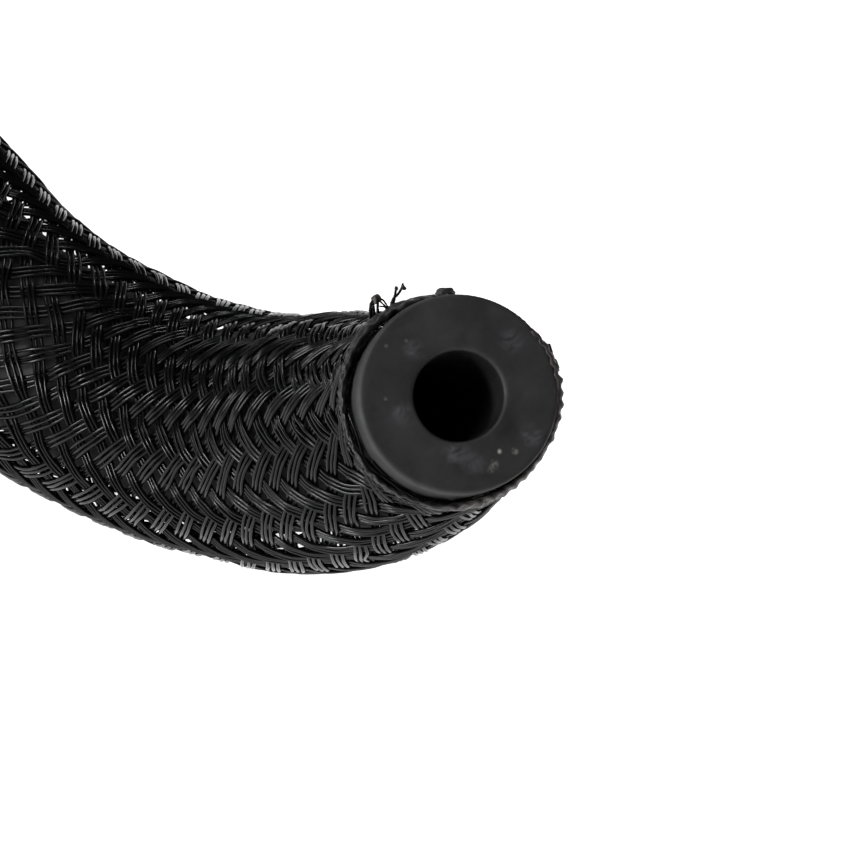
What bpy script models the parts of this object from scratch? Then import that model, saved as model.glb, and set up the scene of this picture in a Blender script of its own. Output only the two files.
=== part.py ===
"""A coolant hose: a thick-walled rubber hose inside a loose braided sleeve.

The hose keeps the shape that it was formed to and lies on a flat surface. Its route starts at the far end,
runs along the surface and curls up to the near end, whose hand-cut face looks up and forward. The sleeve is
one braided wall with a fused rim at each end. Sizes are in metres, angles in degrees, and +Z is up.
"""
import math

import bmesh
import bpy
import numpy as np
from mathutils import Vector

MM = 0.001

# Rubber hose
HOSE_OUTER_DIAMETER = 18.0 * MM
HOSE_BORE_DIAMETER = 8.0 * MM
HOSE_BEVEL_RESOLUTION = 8
BEND_STEP = 8.0
SHORTEST_STEP = 0.5 * MM

# Route of the centreline from the far end to the near end: headings are seen from above, counted from +X
FAR_LEG = 45.0 * MM
FAR_HEADING = 180.0
FAR_BEND_RADIUS = 40.0 * MM
FLOOR_LEG = 44.0 * MM
FLOOR_HEADING = 264.0
SWEEP_RADIUS = 45.0 * MM
MIDDLE_LEG = 2.0 * MM
MIDDLE_HEADING = 285.0
RISE_RADIUS = 45.5 * MM
NEAR_LEG = 17.5 * MM
NEAR_HEADING = 270.0
NEAR_CLIMB = 52.2

# The near face was cut by hand, so it leans away from square
CUT_HEADING = 248.5
CUT_CLIMB = 50.4
CUT_ALLOWANCE = 4.0 * MM
CUTTER_SIDE = 40.0 * MM

# Braided sleeve: its outer side stands off the hose by a wide slack along the body and less at the ends
SLEEVE_BODY_SLACK = 3.4 * MM
FAR_END_SLACK = 1.6 * MM
NEAR_END_SLACK = 1.0 * MM
NEAR_END_LEAN = 0.2 * MM
SLEEVE_FLARE = 23.5 * MM
SLEEVE_WALL = 0.45 * MM
SLEEVE_CLEARANCE = 0.3 * MM
NEAR_SETBACK = 2.0 * MM
FAR_SETBACK = 2.0 * MM

# Braid: ridges wound both ways round the sleeve, with a dimple or a gap between each four crossings
RIDGES_EACH_WAY = 12
BRAID_ANGLE = 54.0
RIDGE_HEIGHT = 1.3 * MM
RELIEF_FADE = 8.0 * MM
GAP_ROW_STEP = 3
GAP_CELL_STEP = 3
GAP_SHARE = 0.66

# Fused rims, with the lumps that the hot cut left on the near one: angle round the rim, height
RIM_WIDTH = 1.8 * MM
RIM_BULGE = 0.25 * MM
LUMP_SPREAD = 11.0
NEAR_RIM_LUMPS = (
    (10.0, 0.6 * MM),
    (-19.0, 0.9 * MM),
    (-71.0, 0.5 * MM),
    (-97.0, 1.1 * MM),
    (-169.0, 0.35 * MM),
)

HOSE_RADIUS = HOSE_OUTER_DIAMETER / 2
HOSE_WALL = (HOSE_OUTER_DIAMETER - HOSE_BORE_DIAMETER) / 2
SLEEVE_BODY_RADIUS = HOSE_RADIUS + SLEEVE_BODY_SLACK
SLEEVE_SEAT = HOSE_RADIUS + SLEEVE_CLEARANCE + SLEEVE_WALL + RIDGE_HEIGHT
UP = Vector((0, 0, 1))


def direction(heading, climb=0.0):
    """A unit vector that points to the heading and rises by the climb."""
    h = math.radians(heading)
    c = math.radians(climb)
    return Vector((math.cos(h) * math.cos(c), math.sin(h) * math.cos(c), math.sin(c)))


class Route:
    """A centreline of straight legs joined by round bends, measured along its length."""

    def __init__(self, start, first_direction, first_length):
        self.pieces = []
        self.length = 0.0
        self.end = start.copy()
        self.heading = first_direction
        self.add_leg(first_length)

    def add_leg(self, length):
        self.pieces.append((self.length, length, self.end.copy(), self.heading, None, 0.0))
        self.length += length
        self.end = self.end + self.heading * length

    def add_bend(self, radius, new_heading):
        angle = self.heading.angle(new_heading)
        side = (new_heading - self.heading * self.heading.dot(new_heading)).normalized()
        self.pieces.append((self.length, radius * angle, self.end.copy(), self.heading, side, radius))
        self.end = self.end + radius * (math.sin(angle) * self.heading + (1 - math.cos(angle)) * side)
        self.length += radius * angle
        self.heading = new_heading

    def at(self, distance):
        """The point and the direction at a distance from the far end; past the ends it runs on straight."""
        piece = self.pieces[0]
        for candidate in self.pieces:
            if candidate[0] <= distance:
                piece = candidate
        first, _, start, heading, side, radius = piece
        along = distance - first
        if side is None:
            return start + heading * along, heading
        turn = along / radius
        point = start + radius * (math.sin(turn) * heading + (1 - math.cos(turn)) * side)
        return point, math.cos(turn) * heading + math.sin(turn) * side

    def stations(self, first, last, bend_step):
        """Distances along the route: the ends, the ends of each leg, and steps round each bend."""
        marks = [first]
        for start, length, _, _, side, radius in self.pieces:
            steps = 1
            if side is not None:
                steps = max(1, math.ceil(math.degrees(length / radius) / bend_step))
            marks += [start + length * k / steps for k in range(steps + 1)]
        marks = sorted(m for m in marks if first <= m < last - SHORTEST_STEP) + [last]
        kept = [marks[0]]
        for mark in marks[1:]:
            if mark - kept[-1] > SHORTEST_STEP:
                kept.append(mark)
        return kept


def hose_route():
    """The hose's centreline, at the height where the sleeve round it rests on the surface."""
    route = Route(Vector((0, 0, SLEEVE_SEAT)), direction(FAR_HEADING), FAR_LEG)
    route.add_bend(FAR_BEND_RADIUS, direction(FLOOR_HEADING))
    route.add_leg(FLOOR_LEG)
    route.add_bend(SWEEP_RADIUS, direction(MIDDLE_HEADING))
    route.add_leg(MIDDLE_LEG)
    route.add_bend(RISE_RADIUS, direction(NEAR_HEADING, NEAR_CLIMB))
    route.add_leg(NEAR_LEG)
    return route


def smooth(value):
    """0 below 0, 1 above 1, and a soft step between."""
    value = min(max(value, 0.0), 1.0)
    return value * value * (3 - 2 * value)


def make_material(name, color, roughness):
    material = bpy.data.materials.new(name)
    material.use_nodes = True
    shader = material.node_tree.nodes["Principled BSDF"]
    shader.inputs["Base Color"].default_value = (*color, 1.0)
    shader.inputs["Roughness"].default_value = roughness
    shader.inputs["Metallic"].default_value = 0.0
    return material


def make_rubber_hose(route, parts, cutters):
    """A tube along the route with a thick wall, square at the far end and cut on a slant at the near end."""
    line = bpy.data.curves.new("hose_line", "CURVE")
    line.dimensions = "3D"
    line.bevel_depth = HOSE_RADIUS
    line.bevel_resolution = HOSE_BEVEL_RESOLUTION
    line.use_fill_caps = False
    marks = route.stations(0.0, route.length + CUT_ALLOWANCE, BEND_STEP)
    spline = line.splines.new("POLY")
    spline.points.add(len(marks) - 1)
    for point, mark in zip(spline.points, marks):
        point.co = (*route.at(mark)[0], 1.0)
    guide = bpy.data.objects.new("hose_line", line)
    parts.objects.link(guide)

    evaluated = guide.evaluated_get(bpy.context.evaluated_depsgraph_get())
    mesh = bpy.data.meshes.new_from_object(evaluated)
    hose = bpy.data.objects.new("rubber_hose", mesh)
    hose.matrix_world = guide.matrix_world
    bpy.data.objects.remove(guide)
    parts.objects.link(hose)

    wall = hose.modifiers.new("wall", "SOLIDIFY")
    wall.thickness = HOSE_WALL
    wall.offset = -1.0

    cut_normal = direction(CUT_HEADING, CUT_CLIMB)
    bpy.ops.mesh.primitive_cube_add(size=CUTTER_SIDE)
    cutter = bpy.context.object
    cutter.name = "near_cut"
    cutter.location = route.end + cut_normal * CUTTER_SIDE / 2
    cutter.rotation_euler = cut_normal.to_track_quat("Z", "Y").to_euler()
    cutter.hide_render = True
    cutter.display_type = "WIRE"
    for collection in list(cutter.users_collection):
        collection.objects.unlink(cutter)
    cutters.objects.link(cutter)
    cut = hose.modifiers.new("near_cut", "BOOLEAN")
    cut.operation = "DIFFERENCE"
    cut.object = cutter
    cut.solver = "EXACT"

    mesh.shade_smooth()
    mesh.set_sharp_from_angle(angle=math.radians(40))
    mesh.materials.clear()
    mesh.materials.append(make_material("black_rubber", (0.030, 0.030, 0.032), 0.65))
    return hose


class SleeveForm:
    """The sleeve's outer form: its radius along the route, and how the braid winds round it."""

    def __init__(self, route):
        self.route = route
        self.first = FAR_SETBACK + RIM_WIDTH
        self.last = route.length - NEAR_SETBACK - RIM_WIDTH
        braid_limit = SLEEVE_BODY_RADIUS / math.sin(math.radians(BRAID_ANGLE))
        marks = np.linspace(self.first, self.last, 600)
        slopes = []
        for mark in marks:
            radius = self.radius(mark)
            slopes.append(math.tan(math.asin(radius / braid_limit)) / radius)
        steps = (np.array(slopes[1:]) + np.array(slopes[:-1])) / 2 * np.diff(marks)
        self.marks = marks
        self.turns = np.concatenate([[0.0], np.cumsum(steps)])
        self.rows = round(self.turns[-1] / (math.pi / RIDGES_EACH_WAY))

    def row_mark(self, row):
        """The distance along the route at which a row of crossings lies."""
        return float(np.interp(self.turns[-1] * row / self.rows, self.turns, self.marks))

    def drawn_in(self, mark):
        """How far the sleeve is drawn in towards its far and its near end: 0 along the body, 1 at that end."""
        far = 1 - smooth((mark - FAR_SETBACK) / SLEEVE_FLARE)
        near = 1 - smooth((self.route.length - NEAR_SETBACK - mark) / SLEEVE_FLARE)
        return far, near

    def radius(self, mark):
        """The outer radius of the braid."""
        far, near = self.drawn_in(mark)
        slack = SLEEVE_BODY_SLACK
        slack -= (SLEEVE_BODY_SLACK - FAR_END_SLACK) * far
        slack -= (SLEEVE_BODY_SLACK - NEAR_END_SLACK) * near
        return HOSE_RADIUS + slack

    def offset(self, mark):
        """How far the sleeve's middle lies above and beside the hose's.

        Along the surface its underside stays on the surface, and at the near end it leans to one side.
        """
        far, near = self.drawn_in(mark)
        lift = self.radius(mark) + RIM_BULGE * far - SLEEVE_SEAT
        return lift * (1 - near), NEAR_END_LEAN * near

    def relief(self, mark):
        """The height of the ridges: it fades out towards the fused rims, and stops short of the hose."""
        edge = min(mark - self.first, self.last - mark)
        room = self.radius(mark) - math.hypot(*self.offset(mark)) - HOSE_RADIUS - SLEEVE_CLEARANCE - SLEEVE_WALL
        return min(RIDGE_HEIGHT * smooth(edge / RELIEF_FADE), room)

    def point(self, mark, angle, raised=0.0):
        """A point on the form; the angle is counted round the sleeve from its upper side."""
        centre, heading = self.route.at(mark)
        upper = (UP - heading * heading.dot(UP)).normalized()
        side = heading.cross(upper)
        radius = self.radius(mark)
        outward = math.cos(angle) * upper + math.sin(angle) * side
        lift, lean = self.offset(mark)
        point = centre + upper * lift + side * lean + outward * (radius + raised)
        return point + heading * self.slant(mark, outward * radius, heading)

    def slant(self, mark, offset, heading):
        """How far the near end's slanted cut shifts a point along the hose."""
        share = (mark - self.route.length + NEAR_LEG) / (NEAR_LEG - NEAR_SETBACK)
        if share <= 0:
            return 0.0
        cut_normal = direction(CUT_HEADING, CUT_CLIMB)
        return -min(share, 1.0) * offset.dot(cut_normal) / heading.dot(cut_normal)


def lump_height(angle):
    """How far the melted lumps stand out at an angle round the near rim."""
    height = 0.0
    for centre, size in NEAR_RIM_LUMPS:
        away = (math.degrees(angle) - centre + 180) % 360 - 180
        height += size * math.exp(-(away / LUMP_SPREAD) ** 2)
    return height


def make_braid_rows(bm, form):
    """One row of crossings and one of dimples at each station, as two lists of rings."""
    step = 2 * math.pi / RIDGES_EACH_WAY
    crossings = []
    dimples = []
    for row in range(form.rows + 1):
        mark = form.row_mark(row)
        shift = 0.5 * (row % 2)
        crossings.append([bm.verts.new(form.point(mark, (i + shift) * step)) for i in range(RIDGES_EACH_WAY)])
        low = -form.relief(mark)
        dimples.append([form.point(mark, (i + shift + 0.5) * step, low) for i in range(RIDGES_EACH_WAY)])
    return crossings, dimples


def is_gap(row, cell, rows):
    """Gaps stand in every few rows, each row's gaps turned on from those of the row before."""
    inside = 3 < row < rows - 3
    return inside and row % GAP_ROW_STEP == 2 and cell % GAP_CELL_STEP == (row // GAP_ROW_STEP) % GAP_CELL_STEP


def make_braid_cells(bm, form, crossings, dimples):
    """The diamonds between the crossings: a dimple in most, an open gap in some."""
    count = RIDGES_EACH_WAY
    for row in range(1, form.rows):
        for cell in range(count):
            other = (cell + row % 2) % count
            corners = [
                crossings[row][cell],
                crossings[row - 1][other],
                crossings[row][(cell + 1) % count],
                crossings[row + 1][other],
            ]
            middle = dimples[row][cell]
            if is_gap(row, cell, form.rows):
                inner = [bm.verts.new(middle.lerp(corner.co, GAP_SHARE)) for corner in corners]
                for k in range(4):
                    n = (k + 1) % 4
                    bm.faces.new((corners[k], corners[n], inner[n], inner[k]))
            else:
                low = bm.verts.new(middle)
                for k in range(4):
                    bm.faces.new((corners[k], corners[(k + 1) % 4], low))


def make_rim(bm, form, crossings, dimples, at_near_end):
    """The half diamonds at one end of the braid, and the fused band beyond them."""
    count = RIDGES_EACH_WAY
    row = form.rows if at_near_end else 0
    inner_row = row - 1 if at_near_end else 1
    sign = 1 if at_near_end else -1
    step = math.pi / count
    edge = []
    for cell in range(count):
        low = bm.verts.new(dimples[row][cell])
        left = crossings[row][cell]
        right = crossings[row][(cell + 1) % count]
        inward = crossings[inner_row][(cell + row % 2) % count]
        for a, b, c in ((left, inward, low), (inward, right, low)):
            bm.faces.new((a, b, c) if at_near_end else (c, b, a))
        edge += [left, low]
    start = form.row_mark(row)
    shift = row % 2
    for share, bulge in ((0.35, RIM_BULGE), (1.0, RIM_BULGE)):
        ring = []
        for k in range(2 * count):
            angle = (k + shift) * step
            raised = bulge + (lump_height(angle) if at_near_end else 0.0)
            ring.append(bm.verts.new(form.point(start + sign * share * RIM_WIDTH, angle, raised)))
        for k in range(2 * count):
            n = (k + 1) % (2 * count)
            quad = (edge[k], edge[n], ring[n], ring[k])
            bm.faces.new(quad if at_near_end else quad[::-1])
        edge = ring


def make_braided_sleeve(route, parts):
    """The braided wall, modelled as its outer face and thickened inward."""
    form = SleeveForm(route)
    bm = bmesh.new()
    crossings, dimples = make_braid_rows(bm, form)
    make_braid_cells(bm, form, crossings, dimples)
    make_rim(bm, form, crossings, dimples, at_near_end=True)
    make_rim(bm, form, crossings, dimples, at_near_end=False)
    mesh = bpy.data.meshes.new("braided_sleeve")
    bm.to_mesh(mesh)
    bm.free()
    sleeve = bpy.data.objects.new("braided_sleeve", mesh)
    parts.objects.link(sleeve)
    wall = sleeve.modifiers.new("wall", "SOLIDIFY")
    wall.thickness = SLEEVE_WALL
    wall.offset = -1.0
    mesh.materials.append(make_material("black_braid", (0.012, 0.012, 0.013), 0.35))
    return sleeve


def shift_to_origin(pieces):
    """The move that brings the middle of the underside of the pieces' box to the origin."""
    graph = bpy.context.evaluated_depsgraph_get()
    points = []
    for piece in pieces:
        mesh = piece.evaluated_get(graph).to_mesh()
        points += [piece.matrix_world @ v.co for v in mesh.vertices]
    low = Vector([min(p[axis] for p in points) for axis in range(3)])
    high = Vector([max(p[axis] for p in points) for axis in range(3)])
    middle = (low + high) / 2
    return Vector((-middle.x, -middle.y, -low.z))


def build():
    for old in list(bpy.data.objects):
        bpy.data.objects.remove(old)
    parts = bpy.data.collections.new("coolant_hose")
    cutters = bpy.data.collections.new("cutters")
    bpy.context.scene.collection.children.link(parts)
    bpy.context.scene.collection.children.link(cutters)

    route = hose_route()
    hose = make_rubber_hose(route, parts, cutters)
    sleeve = make_braided_sleeve(route, parts)
    bpy.context.view_layer.update()
    move = shift_to_origin([hose, sleeve])
    for piece in [hose, sleeve] + list(cutters.objects):
        piece.location += move


build()
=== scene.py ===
"""The looks of a coolant hose: a thick-walled rubber hose in a loose sleeve of braided monofilament.

The route and the sleeve's form are the frame's own. Every filament of the braid is a thin tube that passes over
two crossings and under two. Sizes are in metres, angles in degrees, and +Z is up.
"""

import math

import bmesh
import bpy
import numpy as np
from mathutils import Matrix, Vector, noise


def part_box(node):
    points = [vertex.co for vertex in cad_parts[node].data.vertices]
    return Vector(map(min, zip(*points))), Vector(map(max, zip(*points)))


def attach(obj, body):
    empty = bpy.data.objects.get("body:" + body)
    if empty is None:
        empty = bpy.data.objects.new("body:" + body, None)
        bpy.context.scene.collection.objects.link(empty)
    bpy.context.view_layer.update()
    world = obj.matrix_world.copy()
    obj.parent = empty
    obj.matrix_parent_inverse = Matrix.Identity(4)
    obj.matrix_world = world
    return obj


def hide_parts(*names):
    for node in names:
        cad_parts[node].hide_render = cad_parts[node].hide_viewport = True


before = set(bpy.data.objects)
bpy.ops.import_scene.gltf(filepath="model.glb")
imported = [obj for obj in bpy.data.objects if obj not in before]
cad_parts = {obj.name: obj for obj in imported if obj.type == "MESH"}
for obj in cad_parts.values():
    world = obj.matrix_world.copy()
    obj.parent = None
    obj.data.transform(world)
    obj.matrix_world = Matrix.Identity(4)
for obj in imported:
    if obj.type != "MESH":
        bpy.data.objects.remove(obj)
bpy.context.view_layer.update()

MM = 0.001
UP = Vector((0, 0, 1))

# Rubber hose
HOSE_RADIUS = 9.0 * MM
BORE_RADIUS = 4.0 * MM
HOSE_SIDES = 112
HOSE_STATIONS = 110
EDGE_ROUND = 0.4 * MM
EDGE_STEPS = 5
FACE_RINGS = 16

# The cut face is slightly wavy. The bore's mouth is worn on one side of it and the rubber swells on another; sides
# are angles round the hose, counted from its upper side.
FACE_WAVE = 0.05 * MM
FACE_WAVE_DEPTH = 1.0 * MM
BORE_WEAR = 0.12 * MM
BORE_WEAR_SIDE = 59.0
BORE_WEAR_DEPTH = 4.0 * MM
FACE_SWELL = 0.45 * MM
FACE_SWELL_SIDE = 5.0
FACE_SWELL_LENGTH = 5.0 * MM

# Where the hose rises, it lies higher in the loose sleeve: how much, where that starts and ends before the near end
HOSE_RIDE = 2.0 * MM
HOSE_RIDE_PLACES = (6.0 * MM, 28.0 * MM, 66.0 * MM, 96.0 * MM)

# Route of the centreline from the far end to the near end
FAR_LEG = 45.0 * MM
FAR_HEADING = 180.0
FAR_BEND_RADIUS = 40.0 * MM
FLOOR_LEG = 44.0 * MM
FLOOR_HEADING = 264.0
SWEEP_RADIUS = 45.0 * MM
MIDDLE_LEG = 2.0 * MM
MIDDLE_HEADING = 285.0
RISE_RADIUS = 45.5 * MM
NEAR_LEG = 17.5 * MM
NEAR_HEADING = 270.0
NEAR_CLIMB = 52.2
CUT_HEADING = 248.5
CUT_CLIMB = 50.4

# The sleeve's form
SLEEVE_BODY_RADIUS = 12.4 * MM
FAR_END_RADIUS = 10.6 * MM
NEAR_END_RADIUS = 10.0 * MM
NEAR_END_LEAN = 0.2 * MM
SLEEVE_FLARE = 23.5 * MM
SLEEVE_SEAT = 11.05 * MM
NEAR_SETBACK = 2.0 * MM
FAR_SETBACK = 2.0 * MM
RIM_BULGE = 0.25 * MM
NEAR_RIM_WIDTH = 0.7 * MM
FAR_RIM_WIDTH = 1.8 * MM

# The near rim hugs the hose on one side and stands off it on the other: angle round the rim, outer radius
RIM_HUG = (
    (-165.0, 9.75 * MM),
    (-145.0, 10.0 * MM),
    (-120.0, 10.15 * MM),
    (-100.0, 10.1 * MM),
    (-80.0, 9.65 * MM),
    (-40.0, 9.65 * MM),
    (-15.0, 9.95 * MM),
    (18.0, 10.75 * MM),
    (45.0, 10.4 * MM),
    (76.0, 9.95 * MM),
    (120.0, 10.05 * MM),
    (160.0, 10.05 * MM),
)
HUG_BLUR = tuple(math.radians(turn) for turn in (-18.0, -9.0, 0.0, 9.0, 18.0))
HUG_LENGTH = 9.0 * MM

# The braid: carriers wound both ways, each a flat strip of three filaments. The pitch is the way along the sleeve
# from one crossing to the next of the same row, and the rows turn slowly round the sleeve: ROW_TWIST is radians a
# metre. The braid has slipped along the hose on one side.
CARRIERS = 24
FILAMENTS = 3
FILAMENT_RADIUS = 0.195 * MM
FILAMENT_SIDES = 5
FILAMENT_PITCH = 0.52 * MM
BRAID_PITCH = 3.45 * MM
ROW_TWIST = 5.0
SLIP = 2.2 * MM
SLIP_SIDE = 65.0
WEAVE_HEIGHT = 0.2 * MM
WEAVE_SHARPNESS = 1.35
SAMPLES_PER_CROSSING = 4.3
CARRIERS_PER_PIECE = 6

# How unevenly the braid lies: sway of a carrier as a share of the spacing and that of its own, sway and stray of a
# filament as sizes, and lengths of those waves as shares of the sleeve. Near the ends it is held by the rims.
CARRIER_SWAY = 0.13
OWN_SWAY_SHARE = 0.4
CARRIER_WAVE_LENGTHS = (0.02, 0.08)
FILAMENT_SWAY = 0.06 * MM
FILAMENT_STRAY = 0.05 * MM
FILAMENT_WAVE_LENGTHS = (0.01, 0.05)
WAVES_PER_FILAMENT = 4
SWELL = 0.2 * MM
FREE_LENGTH = 20.0 * MM
FREE_RISE = 0.1 * MM
END_TURN = 0.3
END_TURN_LENGTH = 4.5 * MM
END_SPREAD = 0.5 * MM
SEED = 7

# Fused rims. The near one has melted onto the hose's right side: it is thicker there, runs forward towards the
# face and is tucked in. Its light grey-brown there is partly the melt's colour and partly painted light for a side
# that lies in shade. RIM_MELT_ANGLE is that side round the rim, RIM_MELT_AND_PAINTED_LIGHT_SIDE the same in the
# world.
RIM_THICKNESS = 0.4 * MM
RIM_STEPS = 360
RIM_SIDES = 16
RIM_ROUGHNESS = 0.1 * MM
RIM_SQUARENESS = 0.7
RIM_MELT_AND_PAINTED_LIGHT_SIDE = (0.767, -0.641, 0.0)
RIM_MELT_ANGLE = -90.0
RIM_MELT_RUN = 1.75 * MM
RIM_MELT_TUCK = 0.45 * MM

# Melted lumps on the near rim, in millimetres: angle round it, height of the top over the hose's middle, way back
# from the face, and half widths round, out and along
LUMPS = (
    (-27.0, 10.35, 2.2, 0.9, 0.5, 0.6),
    (-36.0, 9.75, 2.2, 0.5, 0.25, 0.5),
    (-57.5, 9.8, 2.1, 0.55, 0.3, 0.5),
    (-71.5, 9.85, 2.1, 0.6, 0.3, 0.5),
    (-84.0, 9.85, 2.1, 0.3, 0.25, 0.4),
    (-93.0, 10.4, 2.2, 0.7, 0.5, 0.6),
    (-101.5, 10.35, 2.2, 0.8, 0.45, 0.6),
    (-109.0, 9.8, 2.1, 0.5, 0.3, 0.5),
    (-162.0, 9.75, 2.1, 0.6, 0.3, 0.5),
    (-172.0, 9.7, 2.1, 0.4, 0.25, 0.4),
    (178.0, 9.8, 2.1, 0.4, 0.25, 0.4),
    (4.8, 12.0, 2.6, 0.46, 0.42, 0.4),
    (2.0, 10.3, 2.6, 0.28, 0.26, 0.3),
    (-5.4, 11.7, 2.6, 0.16, 0.2, 0.15),
    (-8.6, 11.6, 2.6, 0.2, 0.26, 0.18),
)

# Frayed strands at the near rim, in millimetres: half thickness, then angle, radius and way back along each
FRAYS = (
    (0.2, ((12.0, 10.3, 3.4), (10.5, 10.9, 2.9), (8.4, 11.5, 2.6), (5.6, 11.75, 2.6))),
    (0.2, ((9.6, 10.3, 3.2), (9.2, 10.8, 2.8), (7.6, 11.4, 2.6), (5.0, 11.65, 2.5))),
    (0.16, ((7.9, 10.2, 3.0), (7.6, 10.7, 2.6), (6.0, 11.2, 2.4), (4.4, 11.55, 2.5))),
    (0.1, ((3.6, 11.55, 2.6), (2.7, 11.1, 2.5), (2.5, 10.5, 2.6), (2.0, 10.1, 2.6))),
    (0.09, ((4.4, 11.45, 2.5), (4.6, 11.0, 2.3), (3.6, 10.4, 2.4), (2.2, 10.1, 2.6))),
    (0.08, ((6.0, 10.9, 2.5), (4.8, 10.6, 2.2), (4.2, 10.3, 2.4), (4.6, 10.0, 2.8))),
    (0.24, ((2.8, 9.8, 2.8), (0.8, 10.2, 2.6), (-1.2, 10.6, 2.6), (-2.6, 10.85, 2.6))),
    (0.14, ((-1.2, 10.6, 2.6), (-3.4, 11.0, 2.6), (-5.0, 11.45, 2.6), (-5.6, 11.75, 2.6))),
    (0.14, ((-2.2, 10.8, 2.6), (-5.3, 11.0, 2.6), (-7.8, 11.35, 2.6), (-9.2, 11.75, 2.6))),
    (0.12, ((2.0, 10.0, 2.4), (-4.0, 9.75, 2.1), (-12.0, 9.65, 2.0), (-22.0, 9.65, 2.0))),
)

# Loose strands that lie along the inside of the near rim, in millimetres: first and last angle, radii, way back
# at both ends
RIM_STRANDS = (
    (14.0, 80.0, 10.1, 9.35, 2.9, 2.3),
    (22.0, 96.0, 9.85, 9.4, 2.6, 2.5),
    (40.0, 118.0, 9.6, 9.5, 2.2, 2.3),
    (52.0, 132.0, 9.85, 9.75, 2.6, 2.0),
    (66.0, 150.0, 9.45, 9.6, 1.9, 2.0),
    (80.0, 168.0, 9.7, 9.85, 2.2, 2.2),
    (96.0, 176.0, 9.35, 9.45, 2.0, 1.9),
    (4.0, 48.0, 10.4, 9.9, 3.6, 3.0),
)
RIM_STRAND_RADIUS = 0.12 * MM
RIM_STRAND_POINTS = 60
FRAY_POINTS = 24
STRAND_SIDES = 8

# Marks on the cut face, in millimetres. Clouds: angle round it, distance from its middle and reach. Scuffs also
# have their grey.
CLOUDS = (
    (144.0, 5.2, 1.9),
    (160.0, 6.3, 1.6),
    (-72.5, 6.8, 1.6),
    (15.0, 6.0, 1.3),
    (76.0, 5.6, 1.5),
    (-150.0, 7.4, 1.4),
)
SCUFFS = (
    (-176.0, 6.2, 0.34, 0.4),
    (-166.3, 7.1, 0.45, 0.2),
    (175.3, 7.0, 0.6, 0.13),
    (171.0, 7.3, 0.5, 0.1),
    (26.0, 8.2, 0.3, 0.08),
    (14.8, 7.1, 0.32, 0.09),
    (62.0, 6.9, 0.26, 0.1),
)

# Camera: where it stands about the middle of the near face
CAMERA_HEADING = 50.1
CAMERA_ELEVATION = 45.0
CAMERA_DISTANCE = 600.0 * MM
CAMERA_LENS = 278.1
AIM_RIGHT = -3.29 * MM
AIM_UP = -2.695 * MM

# Stage: a floor that glows, a dim surround and four square lights, each with its heading, elevation, distance in
# metres, watts and size
FLOOR_SIZE = 6.0
FLOOR_DROP = 0.2 * MM
FLOOR_GLOW = 0.92
SURROUND = 0.045
LIGHTS = (
    ("left", 162.0, 20.0, 0.6, 3.2, 0.12),
    ("overhead", 130.0, 62.0, 0.8, 2.6, 0.28),
    ("front", 236.0, 12.0, 0.7, 0.25, 0.05),
    ("back", 60.0, 36.0, 0.7, 0.9, 0.09),
)


def direction(heading, climb=0.0):
    """A unit vector that points to the heading and rises by the climb."""
    h = math.radians(heading)
    c = math.radians(climb)
    return Vector((math.cos(h) * math.cos(c), math.sin(h) * math.cos(c), math.sin(c)))


CUT_NORMAL = np.array(direction(CUT_HEADING, CUT_CLIMB))


class Route:
    """A centreline of straight legs joined by round bends, sampled finely as arrays."""

    STEP = 0.1 * MM
    OVERRUN = 12.0 * MM

    def __init__(self, start, first_heading):
        self.pieces = []
        self.length = 0.0
        self.end = start.copy()
        self.heading = first_heading

    def add_leg(self, length):
        self.pieces.append((self.length, self.end.copy(), self.heading, None, 0.0))
        self.length += length
        self.end = self.end + self.heading * length

    def add_bend(self, radius, new_heading):
        angle = self.heading.angle(new_heading)
        side = (new_heading - self.heading * self.heading.dot(new_heading)).normalized()
        self.pieces.append((self.length, self.end.copy(), self.heading, side, radius))
        self.end = self.end + radius * (math.sin(angle) * self.heading + (1 - math.cos(angle)) * side)
        self.length += radius * angle
        self.heading = new_heading

    def at(self, distance):
        """The point and the direction at a distance from the far end; past the ends it runs on straight."""
        piece = self.pieces[0]
        for candidate in self.pieces:
            if candidate[0] <= distance:
                piece = candidate
        first, start, heading, side, radius = piece
        along = distance - first
        if side is None:
            return start + heading * along, heading
        turn = along / radius
        point = start + radius * (math.sin(turn) * heading + (1 - math.cos(turn)) * side)
        return point, math.cos(turn) * heading + math.sin(turn) * side

    def sample(self):
        """Fills the tables that the array lookups read."""
        self.marks = np.arange(-self.OVERRUN, self.length + self.OVERRUN, self.STEP)
        centres = []
        headings = []
        for mark in self.marks:
            centre, heading = self.at(mark)
            centres.append(centre)
            headings.append(heading)
        self.centres = np.array(centres)
        self.headings = np.array(headings)
        up = np.array(UP)
        uppers = up - self.headings * (self.headings @ up)[:, None]
        self.uppers = uppers / np.linalg.norm(uppers, axis=1)[:, None]

    def look_up(self, marks):
        """Centres, headings, upper and side directions at an array of distances."""
        found = []
        for table in (self.centres, self.headings, self.uppers):
            columns = [np.interp(marks, self.marks, table[:, axis]) for axis in range(3)]
            found.append(np.stack(columns, axis=-1))
        centres, headings, uppers = found
        return centres, headings, uppers, np.cross(headings, uppers)

    def near_points(self, angles, radii, backs):
        """Points round the near end, given by how far they lie behind its slanted face."""
        marks = self.length - np.asarray(backs, dtype=float)
        centres, headings, uppers, sides = self.look_up(marks)
        across = (np.cos(angles)[:, None] * uppers + np.sin(angles)[:, None] * sides) * np.asarray(radii)[:, None]
        slant = -(across @ CUT_NORMAL) / (headings @ CUT_NORMAL)
        return centres + across + headings * slant[:, None]


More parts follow.
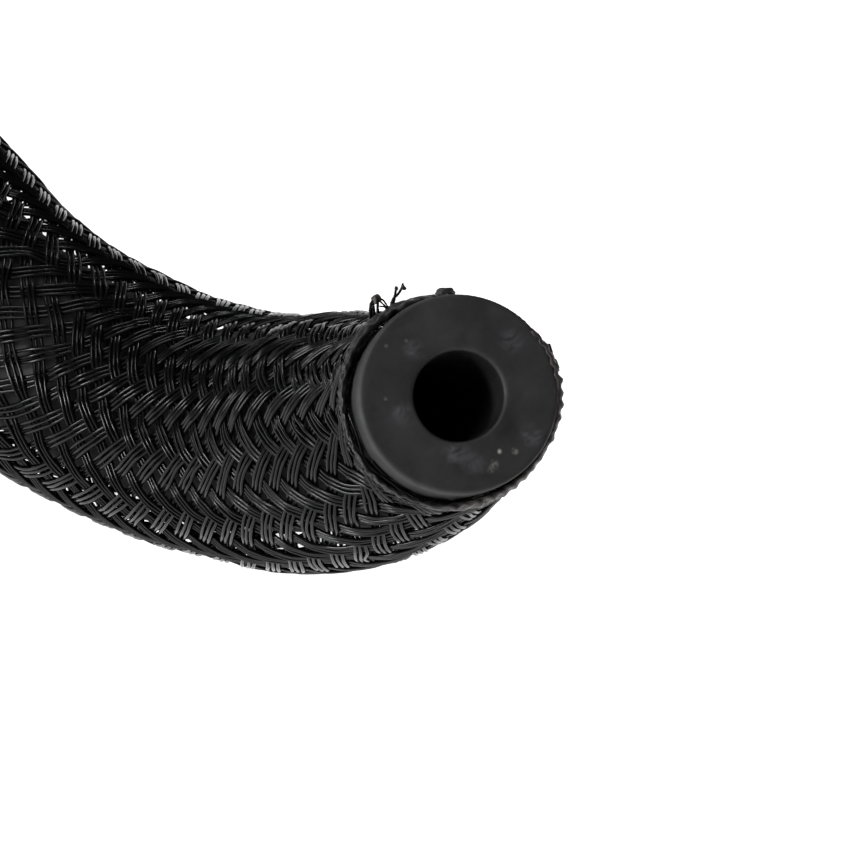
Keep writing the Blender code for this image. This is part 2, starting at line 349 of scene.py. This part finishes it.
def hose_route():
    """The hose's centreline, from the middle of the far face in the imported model."""
    low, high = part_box("rubber_hose")
    start = Vector((high.x, high.y - HOSE_RADIUS, low.z + HOSE_RADIUS))
    route = Route(start, direction(FAR_HEADING))
    route.add_leg(FAR_LEG)
    route.add_bend(FAR_BEND_RADIUS, direction(FLOOR_HEADING))
    route.add_leg(FLOOR_LEG)
    route.add_bend(SWEEP_RADIUS, direction(MIDDLE_HEADING))
    route.add_leg(MIDDLE_LEG)
    route.add_bend(RISE_RADIUS, direction(NEAR_HEADING, NEAR_CLIMB))
    route.add_leg(NEAR_LEG)
    route.sample()
    return route


def smooth(value):
    """0 below 0, 1 above 1, and a soft step between."""
    value = np.clip(value, 0.0, 1.0)
    return value * value * (3 - 2 * value)


class SleeveForm:
    """The sleeve's outer form."""

    def __init__(self, route):
        self.route = route
        self.first = FAR_SETBACK + FAR_RIM_WIDTH / 2
        self.last = route.length - NEAR_SETBACK - NEAR_RIM_WIDTH / 2

    def drawn_in(self, marks):
        """How far the sleeve is drawn in towards its far and its near end: 0 along the body, 1 at that end."""
        far = 1 - smooth((marks - FAR_SETBACK) / SLEEVE_FLARE)
        near = 1 - smooth((self.route.length - NEAR_SETBACK - marks) / SLEEVE_FLARE)
        return far, near

    def radius(self, marks):
        far, near = self.drawn_in(marks)
        radius = SLEEVE_BODY_RADIUS - (SLEEVE_BODY_RADIUS - FAR_END_RADIUS) * far
        return radius - (SLEEVE_BODY_RADIUS - NEAR_END_RADIUS) * near

    def offset(self, marks):
        """How far the sleeve's middle lies above and beside the hose's."""
        far, near = self.drawn_in(marks)
        lift = self.radius(marks) + RIM_BULGE * far - SLEEVE_SEAT
        return lift * (1 - near), NEAR_END_LEAN * near

    def hug(self, marks, angles):
        """The near rim's own radius round the hose, and how far the sleeve follows it at a place."""
        places = [math.radians(angle) for angle, _ in RIM_HUG]
        radii = [radius for _, radius in RIM_HUG]
        total = 0.0
        for turn in HUG_BLUR:
            total = total + np.interp(angles + turn, places, radii, period=2 * math.pi)
        share = 1 - smooth((self.route.length - NEAR_SETBACK - marks) / HUG_LENGTH)
        return total / len(HUG_BLUR), share

    def points(self, marks, angles, raised):
        """Points on the form and the directions out of it; angles are counted from the upper side."""
        centres, headings, uppers, sides = self.route.look_up(marks)
        outward = np.cos(angles)[..., None] * uppers + np.sin(angles)[..., None] * sides
        lift, lean = self.offset(marks)
        loose = uppers * lift[..., None] + sides * lean[..., None] + outward * self.radius(marks)[..., None]
        radius, share = self.hug(marks, angles)
        form = loose + (outward * radius[..., None] - loose) * share[..., None]
        share = np.clip((marks - self.route.length + NEAR_LEG) / (NEAR_LEG - NEAR_SETBACK), 0.0, 1.0)
        slant = -share * (form @ CUT_NORMAL) / (headings @ CUT_NORMAL)
        return centres + form + outward * raised[..., None] + headings * slant[..., None], outward


def waves(rng, count, wave_counts, lengths):
    """A smooth field over the sleeve, as terms that close round it: strength, turns round, metres, phase."""
    terms = []
    for _ in range(count):
        terms.append((rng.normal(), rng.integers(*wave_counts), rng.uniform(*lengths), rng.uniform(0, 2 * math.pi)))
    return terms


def wave_field(terms, marks, angles):
    """The field's value, about 1 in size."""
    total = np.zeros(np.broadcast(marks, angles).shape)
    for strength, turns, length, phase in terms:
        total = total + strength * np.sin(turns * angles + 2 * math.pi * marks / length + phase)
    return total / math.sqrt(len(terms))


def add_object(name, data):
    """Puts a mesh, light or camera into the scene."""
    made = bpy.data.objects.new(name, data)
    bpy.context.scene.collection.objects.link(made)
    return made


def make_mesh(name, points, faces):
    mesh = bpy.data.meshes.new(name)
    mesh.from_pydata(points, [], faces)
    mesh.validate()
    mesh.shade_smooth()
    return add_object(name, mesh)


def grid_faces(rows, sides, first=0):
    """Quads between each ring and the next, where every ring has the same number of sides."""
    ring = np.arange(rows - 1)[:, None] * sides
    side = np.arange(sides)[None, :]
    after = (side + 1) % sides
    quads = np.stack([ring + side, ring + after, ring + sides + after, ring + sides + side], axis=-1)
    return (quads.reshape(-1, 4) + first).tolist()


def make_tubes(name, paths, outwards, radii, sides):
    """One mesh of closed thin tubes; each path is an array of points with the direction out of the braid."""
    points = []
    faces = []
    count = 0
    angles = 2 * math.pi * np.arange(sides) / sides
    for path, outward, radius in zip(paths, outwards, radii):
        along = np.gradient(path, axis=0)
        along /= np.linalg.norm(along, axis=1)[:, None]
        across = np.cross(along, outward)
        across /= np.linalg.norm(across, axis=1)[:, None]
        normal = np.cross(across, along)
        ring = np.cos(angles)[None, :, None] * normal[:, None, :] + np.sin(angles)[None, :, None] * across[:, None, :]
        rings = path[:, None, :] + np.reshape(radius, (-1, 1, 1)) * ring
        points.append(rings.reshape(-1, 3))
        rows = len(path)
        faces += grid_faces(rows, sides, count)
        faces.append([count + k for k in range(sides)][::-1])
        faces.append([count + (rows - 1) * sides + k for k in range(sides)])
        count += rows * sides
    return make_mesh(name, np.concatenate(points).tolist(), faces)


class Braid:
    """The filaments' paths, worked out from the crossings of the two ways of carriers."""

    TURN_RATE = 2 * math.pi / (CARRIERS * BRAID_PITCH)

    def __init__(self, form):
        self.form = form
        rng = np.random.default_rng(SEED)
        self.sway = waves(rng, 10, (-5, 6), (18 * MM, 70 * MM))
        self.swell = waves(rng, 8, (-4, 5), (14 * MM, 50 * MM))
        self.rng = rng
        self.samples = round((form.last - form.first) / BRAID_PITCH * 2 * SAMPLES_PER_CROSSING)

    def own_waves(self, amplitude, lengths):
        """A wave of one filament's own along its length."""
        along = np.linspace(0, 1, self.samples)
        total = np.zeros(self.samples)
        for _ in range(WAVES_PER_FILAMENT):
            length = self.rng.uniform(*lengths)
            total += self.rng.normal() * np.sin(2 * math.pi * (along / length + self.rng.uniform()))
        return total * amplitude / math.sqrt(WAVES_PER_FILAMENT)

    def carrier(self, index, way):
        """The paths of one carrier's filaments; way is 1 or -1."""
        form = self.form
        marks = np.linspace(form.first, form.last, self.samples)
        turned = self.TURN_RATE * (marks - form.first)
        base = 2 * math.pi * index / CARRIERS + way * turned + ROW_TWIST * marks
        crossing = 2 * index + way * CARRIERS * turned / math.pi
        height = np.clip(WEAVE_SHARPNESS * np.cos(math.pi / 2 * (crossing - 0.5)), -1, 1)
        height = way * WEAVE_HEIGHT * height
        spacing = 2 * math.pi / CARRIERS
        base = base + CARRIER_SWAY * spacing * wave_field(self.sway, marks, base)
        base = base + OWN_SWAY_SHARE * CARRIER_SWAY * spacing * self.own_waves(1.0, CARRIER_WAVE_LENGTHS)
        near = np.clip(1 - (form.last - marks) / END_TURN_LENGTH, 0, 1)
        base = base + way * END_TURN * self.rng.uniform(0.3, 1.3) * near ** 2
        slope = form.radius(marks) * self.TURN_RATE
        sine = slope / np.sqrt(1 + slope ** 2)
        cosine = np.sqrt(1 - sine ** 2)
        free = smooth((marks - form.first) / FREE_LENGTH) * smooth((form.last - marks) / FREE_LENGTH)
        slip = SLIP * free * np.sin(base - math.radians(SLIP_SIDE))
        rise = height - WEAVE_HEIGHT - FILAMENT_RADIUS + FREE_RISE * free
        rise = rise + SWELL * np.minimum(0, wave_field(self.swell, marks, base))
        paths = []
        outwards = []
        for k in range(FILAMENTS):
            offset = (k - (FILAMENTS - 1) / 2) * FILAMENT_PITCH
            offset = offset + self.own_waves(FILAMENT_SWAY, FILAMENT_WAVE_LENGTHS)
            stray = self.own_waves(FILAMENT_STRAY, FILAMENT_WAVE_LENGTHS)
            angles = base + offset * cosine / form.radius(marks)
            places = marks - way * offset * sine - slip - near * END_SPREAD * self.rng.uniform()
            path, outward = form.points(places, angles, rise + np.minimum(stray, 0))
            paths.append(path)
            outwards.append(outward)
        return paths, outwards


def make_braid(form):
    """The braid's filaments, as a few pieces for each way of winding."""
    braid = Braid(form)
    pieces = []
    for way, side in ((1, "right"), (-1, "left")):
        for first in range(0, CARRIERS, CARRIERS_PER_PIECE):
            paths = []
            outwards = []
            for index in range(first, first + CARRIERS_PER_PIECE):
                more_paths, more_outwards = braid.carrier(index, way)
                paths += more_paths
                outwards += more_outwards
            name = f"braid_{side}_{first // CARRIERS_PER_PIECE + 1}"
            radii = [FILAMENT_RADIUS] * len(paths)
            pieces.append(make_tubes(name, paths, outwards, radii, FILAMENT_SIDES))
    return pieces


def make_hose(route):
    """The rubber hose as one closed loop of rings: outer side, near face, bore and far face."""
    rng = np.random.default_rng(SEED + 1)
    face_waves = waves(rng, 12, (-4, 5), (5 * MM, 14 * MM))
    angles = 2 * math.pi * np.arange(HOSE_SIDES) / HOSE_SIDES

    def ring(mark, radius, inset, is_near):
        """A ring at a place; inset is how far it lies behind the end's face."""
        centre, heading, upper, side = route.look_up(np.full(HOSE_SIDES, mark))
        outward = np.cos(angles)[:, None] * upper + np.sin(angles)[:, None] * side
        back = route.length - mark
        start, full, leave, end = HOSE_RIDE_PLACES
        ride = smooth((back - start) / (full - start)) * smooth((end - back) / (end - leave))
        inner_share = (HOSE_RADIUS - radius) / (HOSE_RADIUS - BORE_RADIUS)
        outer_share = (radius - BORE_RADIUS) / (HOSE_RADIUS - BORE_RADIUS)
        wear = BORE_WEAR * max(1 - back / BORE_WEAR_DEPTH, 0) * inner_share
        radii = radius + wear * (1 + np.cos(angles - math.radians(BORE_WEAR_SIDE)))
        swell = FACE_SWELL * max(1 - back / FACE_SWELL_LENGTH, 0) * outer_share
        radii = radii + swell * ((1 + np.cos(angles - math.radians(FACE_SWELL_SIDE))) / 2) ** 2
        across = outward * radii[:, None]
        points = centre + across + upper * HOSE_RIDE * ride
        if is_near:
            share = min(max((mark - route.length + NEAR_LEG) / NEAR_LEG, 0.0), 1.0)
            shift = -share * (across @ CUT_NORMAL) / (heading @ CUT_NORMAL)
            wave = FACE_WAVE * wave_field(face_waves, radii, angles)
            shift = shift - inset + (wave if back < FACE_WAVE_DEPTH else 0.0)
            points = points + heading * shift[:, None]
        else:
            points = points + heading * inset
        return points

    def rounded_edge(mark, edge_radius, inward, is_near):
        """The rings round an edge, from the wall to the face; inward is -1 at the outer edge, 1 at the bore's."""
        edge = []
        for k in range(EDGE_STEPS + 1):
            a = math.pi / 2 * k / EDGE_STEPS
            radius = edge_radius + inward * EDGE_ROUND * (1 - math.cos(a))
            edge.append(ring(mark, radius, EDGE_ROUND * (1 - math.sin(a)), is_near))
        return edge

    rings = []
    length = route.length
    face_span = HOSE_RADIUS - BORE_RADIUS - 2 * EDGE_ROUND
    outer_marks = np.linspace(EDGE_ROUND, length - 2 * EDGE_ROUND, HOSE_STATIONS)
    for mark in outer_marks:
        rings.append(ring(mark, HOSE_RADIUS, 0.0, mark > length - NEAR_LEG))
    rings += rounded_edge(length, HOSE_RADIUS, -1, True)
    for k in range(1, FACE_RINGS):
        rings.append(ring(length, HOSE_RADIUS - EDGE_ROUND - face_span * k / FACE_RINGS, 0.0, True))
    rings += rounded_edge(length, BORE_RADIUS, 1, True)[::-1]
    for mark in reversed(outer_marks):
        rings.append(ring(mark, BORE_RADIUS, 0.0, mark > length - NEAR_LEG))
    rings += rounded_edge(0.0, BORE_RADIUS, 1, False)
    for k in range(1, FACE_RINGS // 2):
        rings.append(ring(0.0, BORE_RADIUS + EDGE_ROUND + face_span * 2 * k / FACE_RINGS, 0.0, False))
    rings += rounded_edge(0.0, HOSE_RADIUS, -1, False)[::-1]
    rings.append(rings[0])
    rows = len(rings)
    faces = np.array(grid_faces(rows, HOSE_SIDES))
    total = (rows - 1) * HOSE_SIDES
    faces = (faces % total).tolist()
    points = np.concatenate(rings[:-1]).tolist()
    return make_mesh("hose", points, faces)


def make_rim(name, form, is_near):
    """The fused band at one end of the braid: a flattened ring, uneven from the heat."""
    rng = np.random.default_rng(SEED + (2 if is_near else 3))
    uneven = waves(rng, 24, (-60, 61), (3 * MM, 9 * MM))
    coarse = waves(rng, 10, (-9, 10), (8 * MM, 20 * MM))
    angles = 2 * math.pi * np.arange(RIM_STEPS) / RIM_STEPS
    span = NEAR_RIM_WIDTH if is_near else FAR_RIM_WIDTH
    middle = form.route.length - NEAR_SETBACK - span / 2 if is_near else FAR_SETBACK + span / 2
    melted = (1 + np.cos(angles - math.radians(RIM_MELT_ANGLE))) / 2 if is_near else np.zeros(RIM_STEPS)
    gap = form.hug(np.full(RIM_STEPS, middle), angles)[0] - HOSE_RADIUS
    thickness = RIM_THICKNESS + (gap - RIM_THICKNESS) * melted
    rings = []
    for k in range(RIM_SIDES):
        a = 2 * math.pi * k / RIM_SIDES
        across = math.copysign(abs(math.cos(a)) ** RIM_SQUARENESS, math.cos(a))
        out = math.copysign(abs(math.sin(a)) ** RIM_SQUARENESS, math.sin(a))
        places = np.full(RIM_STEPS, a * 2 * MM)
        rough = RIM_ROUGHNESS * (wave_field(uneven, places, angles) + 0.6 * wave_field(coarse, places, angles))
        forward = max(across, 0) * melted
        marks = middle + across * (span / 2 + 0.8 * rough) + RIM_MELT_RUN * forward
        raised = -thickness / 2 + out * (thickness / 2 + rough) - RIM_MELT_TUCK * forward
        points, _ = form.points(marks, angles, raised)
        rings.append(points)
    points = np.stack(rings, axis=1).reshape(-1, 3)
    faces = np.array(grid_faces(RIM_STEPS + 1, RIM_SIDES)) % (RIM_STEPS * RIM_SIDES)
    return make_mesh(name, points.tolist(), faces[:, ::-1].tolist())


def make_lumps(route):
    """The melted lumps of the near rim, each a rough flattened ball that sits in the rim."""
    bm = bmesh.new()
    for number, (angle, top, back, round_half, out_half, along_half) in enumerate(LUMPS):
        turn = np.radians([angle])
        centre = route.near_points(turn, [(top - out_half) * MM], [back * MM])[0]
        _, heading, upper, side = [table[0] for table in route.look_up(np.array([route.length - back * MM]))]
        out = math.cos(turn[0]) * upper + math.sin(turn[0]) * side
        round_way = np.cross(heading, out)
        ball = bmesh.ops.create_icosphere(bm, subdivisions=3, radius=1.0)
        for vert in ball["verts"]:
            seed_point = vert.co * 1.3 + Vector((7.0 * number, 0, 0))
            swell = 1 + 0.35 * noise.noise(seed_point) + 0.15 * noise.noise(seed_point * 2.7)
            x, y, z = [math.copysign(abs(value) ** 0.8, value) * swell for value in vert.co]
            place = centre + (round_way * x * round_half + out * y * out_half + heading * z * along_half) * MM
            vert.co = Vector(place)
    mesh = bpy.data.meshes.new("near_lumps")
    bm.to_mesh(mesh)
    bm.free()
    mesh.shade_smooth()
    return add_object("near_lumps", mesh)


def spread(values, count):
    """A smooth run of values through a few given ones."""
    given = np.linspace(0, 1, len(values))
    wanted = np.linspace(0, 1, count)
    eased = np.interp(wanted, given, values)
    kernel = np.ones(5) / 5
    padded = np.concatenate([np.full(2, eased[0]), eased, np.full(2, eased[-1])])
    return np.convolve(padded, kernel, mode="valid")


def make_near_strands(route):
    """The frayed strands that stand off the near rim and the loose ones that lie along its inside."""
    rng = np.random.default_rng(SEED + 4)
    pieces = []
    paths = []
    radii = []
    taper = 1 - 0.25 * np.linspace(0, 1, FRAY_POINTS)
    for half_thickness, marks in FRAYS:
        angles, heights, backs = [spread(values, FRAY_POINTS) for values in zip(*marks)]
        paths.append(route.near_points(np.radians(angles), heights * MM, backs * MM))
        radii.append(half_thickness * MM * (taper + 0.12 * rng.normal(size=FRAY_POINTS)))
    pieces.append(("frayed_strands", paths, radii))
    paths = []
    radii = []
    for first, last, first_radius, last_radius, first_back, last_back in RIM_STRANDS:
        steps = np.linspace(0, 1, RIM_STRAND_POINTS)
        angles = np.radians(first + (last - first) * steps)
        wave = 0.12 * np.sin(2 * math.pi * (steps * rng.uniform(1, 3) + rng.uniform()))
        heights = first_radius + (last_radius - first_radius) * steps + wave
        backs = first_back + (last_back - first_back) * steps + wave
        paths.append(route.near_points(angles, heights * MM, backs * MM))
        radii.append(np.full(RIM_STRAND_POINTS, RIM_STRAND_RADIUS))
    pieces.append(("rim_strands", paths, radii))
    made = []
    for name, paths, radii in pieces:
        outwards = [np.tile(np.array(route.heading), (len(path), 1)) for path in paths]
        made.append(make_tubes(name, paths, outwards, radii, STRAND_SIDES))
    return made


class Shader:
    """A material under construction: short calls to add and link nodes."""

    def __init__(self, name, roughness=0.5):
        self.material = bpy.data.materials.new(name)
        self.material.use_nodes = True
        self.tree = self.material.node_tree
        self.principled = self.tree.nodes["Principled BSDF"]
        self.principled.inputs["Roughness"].default_value = roughness
        self.place = self.add("ShaderNodeNewGeometry").outputs["Position"]

    def add(self, kind):
        return self.tree.nodes.new(kind)

    def link(self, source, target):
        self.tree.links.new(source, target)

    def noise(self, scale, detail=4.0, roughness=0.55, warp=0.0):
        node = self.add("ShaderNodeTexNoise")
        node.inputs["Scale"].default_value = scale
        node.inputs["Detail"].default_value = detail
        node.inputs["Roughness"].default_value = roughness
        node.inputs["Distortion"].default_value = warp
        self.link(self.place, node.inputs["Vector"])
        return node.outputs["Fac"]

    def ramp(self, source, stops):
        """Maps a value through stops of position and colour or grey."""
        node = self.add("ShaderNodeValToRGB")
        elements = node.color_ramp.elements
        while len(elements) < len(stops):
            elements.new(0.5)
        for element, (position, color) in zip(elements, stops):
            element.position = position
            element.color = (*color, 1.0) if isinstance(color, tuple) else (color, color, color, 1.0)
        self.link(source, node.inputs["Fac"])
        return node.outputs["Color"]

    def mix(self, factor, first, second):
        """Blends two colours by a factor's value."""
        node = self.add("ShaderNodeMix")
        node.data_type = "RGBA"
        factor_input = node.inputs[0]
        first_input, second_input = [s for s in node.inputs if s.type == "RGBA"]
        self.link(factor, factor_input)
        for value, socket in ((first, first_input), (second, second_input)):
            if isinstance(value, tuple):
                socket.default_value = (*value, 1.0)
            else:
                self.link(value, socket)
        return [s for s in node.outputs if s.type == "RGBA"][0]

    def multiply(self, first, second):
        node = self.add("ShaderNodeMath")
        node.operation = "MULTIPLY"
        self.link(first, node.inputs[0])
        self.link(second, node.inputs[1])
        return node.outputs["Value"]

    def step(self, value, low, high):
        """0 at or below the low value, 1 at or above the high one; the other way round when low is the larger."""
        node = self.add("ShaderNodeMapRange")
        node.interpolation_type = "SMOOTHSTEP"
        node.inputs["From Min"].default_value = min(low, high)
        node.inputs["From Max"].default_value = max(low, high)
        node.inputs["To Min"].default_value = 0.0 if low < high else 1.0
        node.inputs["To Max"].default_value = 1.0 if low < high else 0.0
        self.link(value, node.inputs["Value"])
        return node.outputs["Result"]

    def distance(self, centre):
        node = self.add("ShaderNodeVectorMath")
        node.operation = "DISTANCE"
        self.link(self.place, node.inputs[0])
        node.inputs[1].default_value = centre
        return node.outputs["Value"]

    def height_along(self, centre, normal):
        """How far a place lies from a centre along a direction."""
        away = self.add("ShaderNodeVectorMath")
        away.operation = "SUBTRACT"
        self.link(self.place, away.inputs[0])
        away.inputs[1].default_value = centre
        node = self.add("ShaderNodeVectorMath")
        node.operation = "DOT_PRODUCT"
        self.link(away.outputs["Vector"], node.inputs[0])
        node.inputs[1].default_value = normal
        return node.outputs["Value"]

    def surface(self, color, rough=None, ior=None):
        """Links the base colour and the roughness, and sets the index of refraction."""
        self.link(color, self.principled.inputs["Base Color"])
        if rough is not None:
            self.link(rough, self.principled.inputs["Roughness"])
        if ior is not None:
            self.principled.inputs["IOR"].default_value = ior

    def bump(self, height, strength, distance):
        node = self.add("ShaderNodeBump")
        node.inputs["Strength"].default_value = strength
        node.inputs["Distance"].default_value = distance
        self.link(height, node.inputs["Height"])
        self.link(node.outputs["Normal"], self.principled.inputs["Normal"])


def filament_material():
    """Glossy black plastic."""
    shader = Shader("braid_filament")
    color = shader.ramp(shader.noise(220, 3), [(0.3, (0.002, 0.0021, 0.0022)), (0.75, (0.004, 0.0041, 0.0042))])
    rough = shader.ramp(shader.noise(900, 3), [(0.3, 0.13), (0.7, 0.26)])
    shader.surface(color, rough, 1.27)
    shader.bump(shader.noise(4000, 2), 0.12, 0.02 * MM)
    return shader.material


def rim_material(route):
    """Fused braid: black, and a light grey-brown on the hose's right side at the near end, partly the colour where it
    melted onto the hose and partly painted light, as that side lies in shade.
    """
    shader = Shader("braid_rim")
    black = shader.ramp(shader.noise(900, 4), [(0.3, (0.003, 0.003, 0.003)), (0.75, (0.008, 0.0075, 0.0073))])
    # Painted light: the grey-brown is lighter than the melt alone, to make up for the shade on that side of the rim.
    brown = shader.ramp(shader.noise(700, 4), [(0.3, (0.034, 0.03, 0.0295)), (0.75, (0.066, 0.056, 0.054))])
    melted = shader.step(shader.height_along(np.array(route.end), RIM_MELT_AND_PAINTED_LIGHT_SIDE), -1.5 * MM, 1.0 * MM)
    rough = shader.ramp(shader.noise(1500, 4), [(0.3, 0.3), (0.7, 0.6)])
    shader.surface(shader.mix(melted, black, brown), rough, 1.4)
    shader.bump(shader.noise(2500, 4), 0.7, 0.12 * MM)
    return shader.material


def melted_material():
    """Dull lumps of molten strands, slightly brown."""
    shader = Shader("braid_melted")
    color = shader.ramp(shader.noise(500, 4), [(0.3, (0.009, 0.008, 0.008)), (0.75, (0.026, 0.022, 0.021))])
    rough = shader.ramp(shader.noise(800, 4), [(0.3, 0.4), (0.7, 0.7)])
    shader.surface(color, rough)
    shader.bump(shader.noise(2500, 4), 0.5, 0.08 * MM)
    return shader.material


def rubber_material(route):
    """Black rubber outside and in the bore, near black as painted shade for the shade under the braid, behind the
    near rim and deep in the bore. The cut face and the outside next to it are paler, clouded and scuffed.
    """
    shader = Shader("hose_rubber")
    face_centre = np.array(route.end)
    # Painted shade: the rubber outside and in the bore is made far darker than the cut face's, for the shade under
    # the braid, behind the near rim and in the bore.
    skin_and_painted_shade = shader.ramp(shader.noise(300, 5), [(0.3, (0.0022, 0.0022, 0.0023)), (0.75, (0.0038, 0.0038, 0.004))])
    cut = shader.ramp(shader.noise(260, 6, 0.6, 0.5), [(0.32, (0.02, 0.02, 0.0205)), (0.72, (0.039, 0.039, 0.04))])
    wisps = shader.ramp(shader.noise(520, 5, 0.65, 1.2), [(0.4, 0.0), (0.66, 1.0)])
    for angle, radius, reach in CLOUDS:
        centre = route.near_points(np.radians([angle]), [radius * MM], [0.0])[0]
        near = shader.step(shader.distance(centre), reach * MM, 0.3 * MM)
        cut = shader.mix(shader.multiply(near, wisps), cut, (0.08, 0.08, 0.089))
    grain = shader.ramp(shader.noise(2600, 3, 0.6), [(0.4, 0.15), (0.55, 1.0)])
    for angle, radius, reach, grey in SCUFFS:
        centre = route.near_points(np.radians([angle]), [radius * MM], [0.0])[0]
        near = shader.step(shader.distance(centre), reach * MM, 0.15 * reach * MM)
        cut = shader.mix(shader.multiply(near, grain), cut, (grey, grey, 0.9 * grey))
    height = shader.height_along(face_centre, CUT_NORMAL)
    # The painted shade begins 1.8 to 2.6 mm behind the face; the band of outside wall in front of it keeps the cut
    # face's grey.
    by_the_cut = shader.mix(shader.step(height, -2.6 * MM, -1.8 * MM), skin_and_painted_shade, cut)
    # The bore takes the painted shade as well.
    in_bore = shader.step(shader.distance(face_centre), 6.0 * MM, 5.0 * MM)
    inside = shader.multiply(in_bore, shader.step(height, 0.0, -0.25 * MM))
    rough = shader.ramp(shader.noise(350, 4), [(0.3, 0.5), (0.7, 0.68)])
    shader.surface(shader.mix(inside, by_the_cut, skin_and_painted_shade), rough, 1.36)
    shader.bump(shader.noise(1600, 5), 0.25, 0.06 * MM)
    return shader.material


def dress(piece, material, node):
    """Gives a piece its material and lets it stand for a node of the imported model."""
    piece.data.materials.append(material)
    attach(piece, "root")
    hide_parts(node)


def add_light(name, target, heading, elevation, distance, power, size):
    """A square light that looks at the target from a heading and an elevation."""
    light = bpy.data.lights.new(name, "AREA")
    light.shape = "SQUARE"
    light.size = size
    light.energy = power
    lamp = add_object(name, light)
    back = direction(heading, elevation)
    lamp.location = target + back * distance
    lamp.rotation_euler = back.to_track_quat("Z", "Y").to_euler()


def make_stage(target):
    """A pale floor that glows evenly, as a light table does, with small studio lights over it."""
    bpy.ops.mesh.primitive_plane_add(size=FLOOR_SIZE, location=(0, 0, -FLOOR_DROP))
    floor = bpy.context.object
    floor.name = "floor"
    shader = Shader("floor_white", 0.8)
    shader.surface(shader.ramp(shader.noise(3, 2), [(0.3, 0.80), (0.7, 0.82)]))
    shader.principled.inputs["Emission Color"].default_value = (1, 1, 1, 1)
    shader.principled.inputs["Emission Strength"].default_value = FLOOR_GLOW
    floor.data.materials.append(shader.material)
    world = bpy.data.worlds.new("surround")
    world.use_nodes = True
    background = world.node_tree.nodes["Background"]
    background.inputs["Color"].default_value = (1, 1, 1, 1)
    background.inputs["Strength"].default_value = SURROUND
    bpy.context.scene.world = world
    for name, heading, elevation, distance, power, size in LIGHTS:
        add_light(name, target, heading, elevation, distance, power, size)
    bpy.context.scene.view_settings.view_transform = "Standard"


def make_camera(face_centre):
    """A long lens at the photograph's angle."""
    looking = direction(CAMERA_HEADING, -CAMERA_ELEVATION)
    right = looking.cross(UP).normalized()
    up = right.cross(looking)
    camera = bpy.data.cameras.new("camera")
    camera.lens = CAMERA_LENS
    viewer = add_object("camera", camera)
    aim = face_centre + right * AIM_RIGHT + up * AIM_UP
    viewer.location = aim - looking * CAMERA_DISTANCE
    viewer.rotation_euler = (-looking).to_track_quat("Z", "Y").to_euler()
    bpy.context.scene.camera = viewer


route = hose_route()
form = SleeveForm(route)
make_camera(route.end)
make_stage(route.end)

hose = make_hose(route)
dress(hose, rubber_material(route), "rubber_hose")
filament = filament_material()
rim = rim_material(route)
for piece in make_braid(form):
    dress(piece, filament, "braided_sleeve")
for piece in make_near_strands(route):
    dress(piece, filament, "braided_sleeve")
for name, is_near in (("near_rim", True), ("far_rim", False)):
    dress(make_rim(name, form, is_near), rim, "braided_sleeve")
dress(make_lumps(route), melted_material(), "braided_sleeve")
